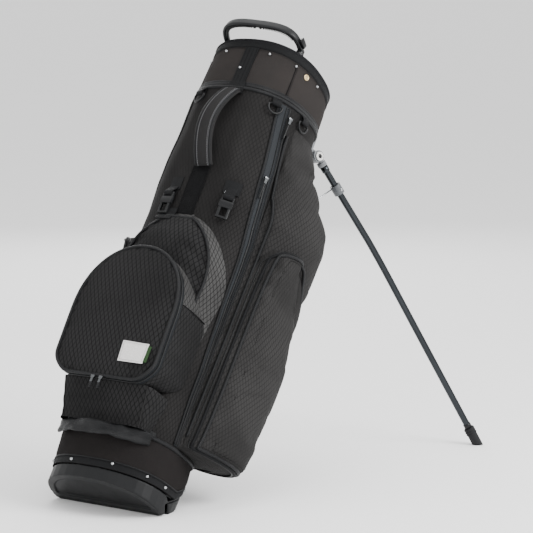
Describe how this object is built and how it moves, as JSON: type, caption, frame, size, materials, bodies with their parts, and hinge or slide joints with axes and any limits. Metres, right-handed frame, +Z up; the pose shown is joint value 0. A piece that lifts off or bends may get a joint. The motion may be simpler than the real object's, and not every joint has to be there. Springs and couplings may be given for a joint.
{
  "type": "golf stand bag",
  "caption": "Soft golf stand bag leaning on two folding aluminium legs, with a padded carry handle over the mouth, divided top and full side and front pockets.",
  "frame": {"origin": "on the floor, under the middle of the bag and its opened legs", "axes": "+X towards the feet of the opened legs, the way the bag leans; +Y to the left side; +Z up"},
  "size_m": [0.9188, 0.57, 0.8631],
  "materials": {
    "aluminium": "satin",
    "collar_cloth": "plain weave",
    "dark_aluminium": "dark anodised",
    "moulded_black": "satin, fine moulded texture",
    "moulded_grey": "satin",
    "moulded_pale": "satin",
    "patch_cloth": "plain woven, blank",
    "ripstop": "coated ripstop with a small diamond grid",
    "rubber": "matt",
    "steel": "bright wire",
    "webbing": "woven webbing"
  },
  "bodies": {
    "bag": {"base_cup": "moulded_black", "flap_pin": "steel", "base_band": "collar_cloth", "base_piping": "webbing", "base_handle": "webbing", "body_shell": "ripstop", "collar_piping": "webbing", "collar_cover": "collar_cloth", "rim_binding": "webbing", "rim_pad": "webbing", "top_ring": "moulded_black", "divider_lengthwise": "ripstop", "divider_right": "ripstop", "divider_left": "ripstop", "spine_stay": "aluminium", "side_stay_right": "aluminium", "side_stay_left": "aluminium", "carry_handle": "moulded_grey", "handle_clip": "moulded_black", "upper_front_pocket": "ripstop", "lower_front_pocket": "ripstop", "garment_pocket_right": "ripstop", "garment_pocket_left": "ripstop", "side_pocket_right": "ripstop", "side_pocket_left": "ripstop", "collar_strip": "webbing", "grip_strip": "webbing", "grab_handle": "webbing", "blank_patch": "patch_cloth", "leg_pivot_right": "aluminium", "leg_pivot_left": "aluminium", "leg_bracket": "moulded_pale", "rod_guide_low": "moulded_black", "rod_guide_high": "moulded_black"},
    "leg_right": {"leg_fitting_right": "moulded_pale", "leg_tube_right": "dark_aluminium", "leg_foot_right": "rubber", "leg_clamp_right": "moulded_grey"},
    "leg_left": {"leg_fitting_left": "moulded_pale", "leg_tube_left": "dark_aluminium", "leg_foot_left": "rubber", "leg_clamp_left": "moulded_grey"},
    "wire_right": {"wire_arm_right": "steel"},
    "wire_left": {"wire_arm_left": "steel"},
    "stand_rod": {"actuator_rod": "steel", "slider_block": "moulded_black"},
    "flap": {"base_flap": "moulded_black"},
    "d_ring_left": {"d_ring_left": "moulded_black"},
    "d_ring_front": {"d_ring_front": "moulded_black"},
    "d_ring_right": {"d_ring_right": "moulded_black"},
    "buckle_left": {"buckle_left": "moulded_black"},
    "buckle_right": {"buckle_right": "moulded_black"},
    "lower_zip_pull_left": {"lower_zip_pull_left": "steel"},
    "lower_zip_pull_right": {"lower_zip_pull_right": "steel"},
    "garment_zip_pull": {"garment_zip_pull": "steel"},
    "channel_zip_pull": {"channel_zip_pull": "steel"}
  },
  "joints": [
    {"name": "leg_right_fold", "type": "hinge", "parent": "bag", "child": "leg_right", "pos_m": [0.17509, -0.069, 0.59165], "axis": [-0.2806, -0.9395, 0.1965], "range_deg": [-61.3, 0]},
    {"name": "leg_left_fold", "type": "hinge", "parent": "bag", "child": "leg_left", "pos_m": [0.17509, 0.069, 0.59165], "axis": [0.2806, -0.9395, -0.1965], "range_deg": [-61.5, 0.2]},
    {"name": "rod_slide", "type": "slide", "parent": "bag", "child": "stand_rod", "axis": [0.6107, 0, 0.7918], "range_m": [-0.0672, 0.0003]},
    {"name": "wire_right_pivot", "type": "hinge", "parent": "leg_right", "child": "wire_right", "pos_m": [0.21382, -0.08086, 0.52782], "axis": [-0.382, -0.9237, -0.0286], "range_deg": [-0.2, 79.12]},
    {"name": "wire_left_pivot", "type": "hinge", "parent": "leg_left", "child": "wire_left", "pos_m": [0.21382, 0.08086, 0.52782], "axis": [0.382, -0.9237, 0.0286], "range_deg": [-0.2, 79.12]},
    {"name": "flap_fold", "type": "hinge", "parent": "bag", "child": "flap", "pos_m": [-0.3739, 0, 0.006], "axis": [0, 1, 0], "range_deg": [-0.2, 46.8]},
    {"name": "d_ring_left_swing", "type": "hinge", "parent": "bag", "child": "d_ring_left", "pos_m": [-0.02627, 0.0621, 0.72068], "axis": [0.2944, 0.9332, -0.2061], "range_deg": [0, 95]},
    {"name": "d_ring_front_swing", "type": "hinge", "parent": "bag", "child": "d_ring_front", "pos_m": [-0.00515, -0.09877, 0.7059], "axis": [-0.6297, 0.6396, 0.4409], "range_deg": [0, 95]},
    {"name": "d_ring_right_swing", "type": "hinge", "parent": "bag", "child": "d_ring_right", "pos_m": [0.05016, -0.12302, 0.66717], "axis": [-0.8187, 0.0338, 0.5732], "range_deg": [0, 95]},
    {"name": "buckle_left_swing", "type": "hinge", "parent": "bag", "child": "buckle_left", "pos_m": [-0.157, 0.0365, 0.54463], "axis": [0.099, 0.9927, -0.0693], "range_deg": [0, 85]},
    {"name": "buckle_right_swing", "type": "hinge", "parent": "bag", "child": "buckle_right", "pos_m": [-0.1396, -0.08589, 0.54221], "axis": [-0.4257, 0.8543, 0.2981], "range_deg": [0, 85]},
    {"name": "lower_zip_left_slide", "type": "slide", "parent": "bag", "child": "lower_zip_pull_left", "axis": [0, 1, 0], "range_m": [0, 0.06]},
    {"name": "lower_zip_right_slide", "type": "slide", "parent": "bag", "child": "lower_zip_pull_right", "axis": [0, -1, 0], "range_m": [0, 0.06]},
    {"name": "garment_zip_slide", "type": "slide", "parent": "bag", "child": "garment_zip_pull", "axis": [-0.5735, -0.025, -0.8189], "range_m": [0, 0.08]},
    {"name": "channel_zip_slide", "type": "slide", "parent": "bag", "child": "channel_zip_pull", "axis": [-0.5704, -0.0125, -0.8213], "range_m": [0, 0.1]}
  ],
  "couplings": [
    {"joint": "leg_left_fold", "follows": "leg_right_fold", "ratio": 1},
    {"joint": "rod_slide", "follows": "leg_right_fold", "m_per_rad": 0.062502},
    {"joint": "wire_right_pivot", "follows": "leg_right_fold", "ratio": -1.2835},
    {"joint": "wire_left_pivot", "follows": "leg_right_fold", "ratio": -1.2835},
    {"joint": "flap_fold", "follows": "leg_right_fold", "ratio": -0.75819}
  ]
}
